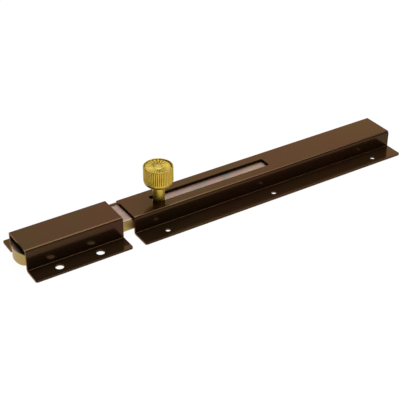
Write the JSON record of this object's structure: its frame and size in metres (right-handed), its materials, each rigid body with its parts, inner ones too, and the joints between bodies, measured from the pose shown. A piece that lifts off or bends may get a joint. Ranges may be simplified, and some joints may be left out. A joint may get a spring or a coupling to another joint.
{
  "type": "slide bolt latch",
  "caption": "Surface-mounted slide bolt: a flat bolt with a rounded nose, drawn by a knurled knob in a slotted cover, shoots into a keeper.",
  "frame": {"origin": "on the door's face, on the bolt's centre line, midway between the nose of the shot bolt and the tail of the cover", "axes": "+X along the bolt from the keeper to the cover's tail, the way the bolt is drawn; +Z away from the door"},
  "size_m": [0.2054, 0.0372, 0.0266],
  "materials": {
    "brown_enamel": "glossy dark brown stoved enamel on folded steel sheet",
    "yellow_zinc": "yellow-passivated zinc plate, faintly iridescent",
    "brass": "turned and knurled, polished",
    "bright_zinc": "bright zinc plate",
    "spring_steel": "hardened strip"
  },
  "bodies": {
    "cover": {"guide_cover": "brown_enamel", "back_plate": "bright_zinc", "friction_spring": "spring_steel", "spring_rivet": "bright_zinc"},
    "bolt": {"bolt_bar": "yellow_zinc", "knob_head": "brass", "knob_sleeve": "brass", "knob_screw": "bright_zinc"},
    "keeper": {"keeper": "brown_enamel"}
  },
  "joints": [
    {"name": "bolt_slide", "type": "slide", "parent": "cover", "child": "bolt", "axis": [1, 0, 0], "range_m": [0, 0.0574]},
    {"name": "keeper_slide", "type": "slide", "parent": "cover", "child": "keeper", "axis": [-1, 0, 0], "range_m": [0, 0.055]}
  ]
}
